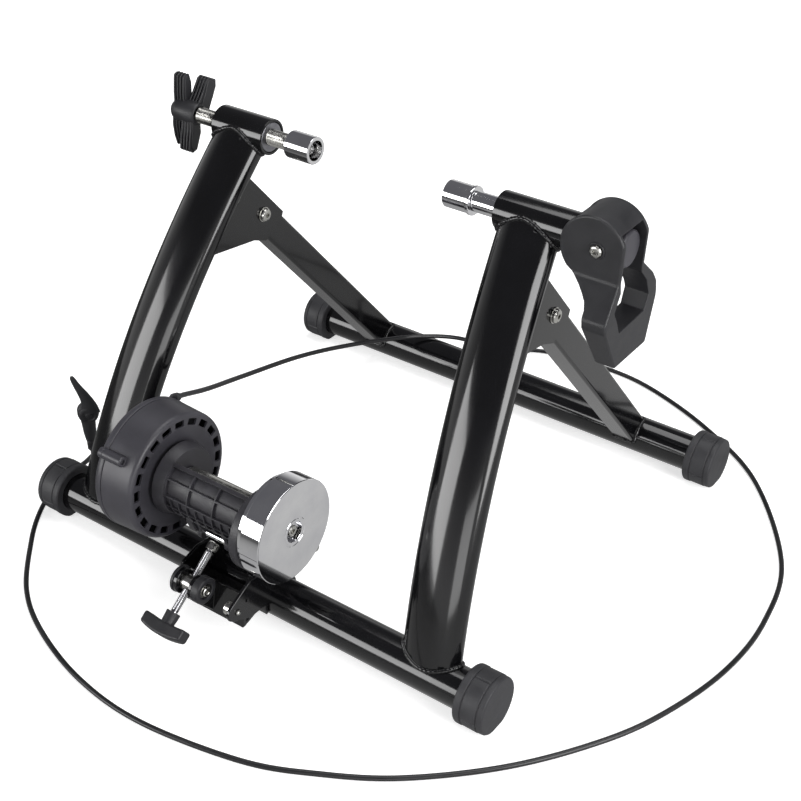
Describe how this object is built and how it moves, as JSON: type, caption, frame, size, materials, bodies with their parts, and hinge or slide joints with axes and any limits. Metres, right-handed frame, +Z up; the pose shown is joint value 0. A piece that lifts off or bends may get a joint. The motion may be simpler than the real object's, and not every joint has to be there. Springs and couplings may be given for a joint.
{
  "type": "bike trainer",
  "caption": "Folding indoor bicycle trainer: steel A-frame, axle clamp with cam lever and screw knob, magnetic roller unit with flywheel, and a remote shifter on a cable.",
  "frame": {"origin": "on the floor, in the middle of the trainer's box without its cable", "axes": "+Z up, +Y from the roller unit towards the folding rear frame, +X from the screw clamp to the lever clamp, along the wheel's axle"},
  "size_m": [0.699, 0.7407, 0.4091],
  "materials": {
    "black_steel": "gloss",
    "zinc_steel": "satin",
    "plain_steel": "satin",
    "chrome": "mirror",
    "dark_plastic": "matte",
    "grey_plastic": "satin",
    "foot_rubber": "matte",
    "cable_sheath": "satin",
    "magnet": "satin"
  },
  "bodies": {
    "frame": {"front_base_tube": "black_steel", "front_left_foot": "foot_rubber", "front_right_foot": "foot_rubber", "left_main_leg": "black_steel", "right_main_leg": "black_steel", "left_pivot_bracket": "black_steel", "right_pivot_bracket": "black_steel", "left_pivot_bolt": "zinc_steel", "right_pivot_bolt": "zinc_steel", "left_pivot_nut": "zinc_steel", "right_pivot_nut": "zinc_steel", "left_axle_sleeve": "black_steel", "right_axle_sleeve": "black_steel", "clamp_sleeve_nut": "plain_steel", "axle_pin_bush": "dark_plastic", "pin_return_spring": "plain_steel", "roller_bracket": "black_steel", "left_trunnion_boss": "dark_plastic", "right_trunnion_boss": "dark_plastic", "left_trunnion_screw": "zinc_steel", "right_trunnion_screw": "zinc_steel", "yoke_pivot_pin": "zinc_steel", "cheek_bolt": "zinc_steel", "remote_body": "dark_plastic", "remote_barrel": "plain_steel", "shift_cable": "cable_sheath"},
    "rear_frame": {"rear_base_tube": "black_steel", "rear_left_foot": "foot_rubber", "rear_right_foot": "foot_rubber", "left_rear_leg": "black_steel", "right_rear_leg": "black_steel"},
    "clamp_cup": {"left_axle_cup": "chrome"},
    "clamp_screw": {"clamp_screw": "zinc_steel", "clamp_knob": "dark_plastic"},
    "axle_pin": {"right_axle_cup": "chrome", "axle_pin": "zinc_steel", "lever_block": "grey_plastic", "lever_screw_front": "zinc_steel", "lever_screw_back": "zinc_steel"},
    "cam_lever": {"cam_lever": "dark_plastic"},
    "trunnion": {"adjuster_trunnion": "zinc_steel"},
    "adjuster_tip": {"adjuster_tip": "zinc_steel"},
    "adjuster_screw": {"adjuster_screw": "zinc_steel", "adjuster_knob": "dark_plastic"},
    "yoke": {"roller_yoke": "dark_plastic", "adjuster_cross_bar": "zinc_steel", "housing_cover": "grey_plastic", "housing_cap": "grey_plastic", "yoke_left_bearing": "plain_steel", "yoke_right_bearing": "plain_steel"},
    "rotor": {"roller_shaft": "plain_steel", "roller": "zinc_steel", "rotor_disc": "plain_steel", "flywheel": "chrome", "flywheel_screw": "zinc_steel"},
    "magnets": {"magnet_carrier": "dark_plastic", "magnet_1": "magnet", "magnet_2": "magnet", "magnet_3": "magnet"},
    "remote_lever": {"remote_lever": "dark_plastic"}
  },
  "joints": [
    {"name": "rear_frame_fold", "type": "hinge", "parent": "frame", "child": "rear_frame", "pos_m": [0, 0.03648, 0.283], "axis": [1, 0, 0], "range_deg": [-68, 0]},
    {"name": "clamp_slide", "type": "slide", "parent": "frame", "child": "clamp_cup", "axis": [1, 0, 0], "range_m": [-0.0201, 0.0281]},
    {"name": "clamp_turn", "type": "hinge", "parent": "clamp_cup", "child": "clamp_screw", "pos_m": [-0.104, 0.03008, 0.3731], "axis": [1, 0, 0], "range_deg": [-3600, 5040]},
    {"name": "pin_slide", "type": "slide", "parent": "frame", "child": "axle_pin", "axis": [1, 0, 0], "range_m": [0, 0.01]},
    {"name": "lever_turn", "type": "hinge", "parent": "axle_pin", "child": "cam_lever", "pos_m": [0.236, 0.03008, 0.375], "axis": [0, -1, 0], "range_deg": [0, 38]},
    {"name": "yoke_swing", "type": "hinge", "parent": "frame", "child": "yoke", "pos_m": [0, -0.12252, 0.05], "axis": [1, 0, 0], "range_deg": [-1.65, 14.83], "deforming": ["shift_cable"]},
    {"name": "trunnion_tilt", "type": "hinge", "parent": "frame", "child": "trunnion", "pos_m": [-0.0173, -0.23992, 0.0624], "axis": [1, 0, 0], "range_deg": [-20.88, 2.33]},
    {"name": "tip_slide", "type": "slide", "parent": "trunnion", "child": "adjuster_tip", "axis": [0, 0.8192, 0.5736], "range_m": [-0.01688, 0.00188]},
    {"name": "adjuster_turn", "type": "hinge", "parent": "adjuster_tip", "child": "adjuster_screw", "pos_m": [-0.0173, -0.23992, 0.0624], "axis": [0, 0.8192, 0.5736], "range_deg": [-4860.5, 540.5]},
    {"name": "roller_spin", "type": "hinge", "parent": "yoke", "child": "rotor", "pos_m": [0, -0.19322, 0.1334], "axis": [1, 0, 0], "continuous": true},
    {"name": "magnet_slide", "type": "slide", "parent": "yoke", "child": "magnets", "axis": [1, 0, 0], "range_m": [0, 0.008]},
    {"name": "remote_lever_turn", "type": "hinge", "parent": "frame", "child": "remote_lever", "pos_m": [-0.256, -0.13252, 0.095], "axis": [0.7764, -0.6303, 0], "range_deg": [0, 95.1]}
  ],
  "couplings": [
    {"joint": "clamp_slide", "follows": "clamp_turn", "m_per_rad": 0.00031831},
    {"joint": "pin_slide", "follows": "lever_turn", "m_per_rad": 0.015078},
    {"joint": "trunnion_tilt", "follows": "yoke_swing", "ratio": -1.4071},
    {"joint": "tip_slide", "follows": "yoke_swing", "m_per_rad": -0.065203},
    {"joint": "adjuster_turn", "follows": "yoke_swing", "ratio": -327.75},
    {"joint": "remote_lever_turn", "follows": "magnet_slide", "rad_per_m": 207.26}
  ]
}
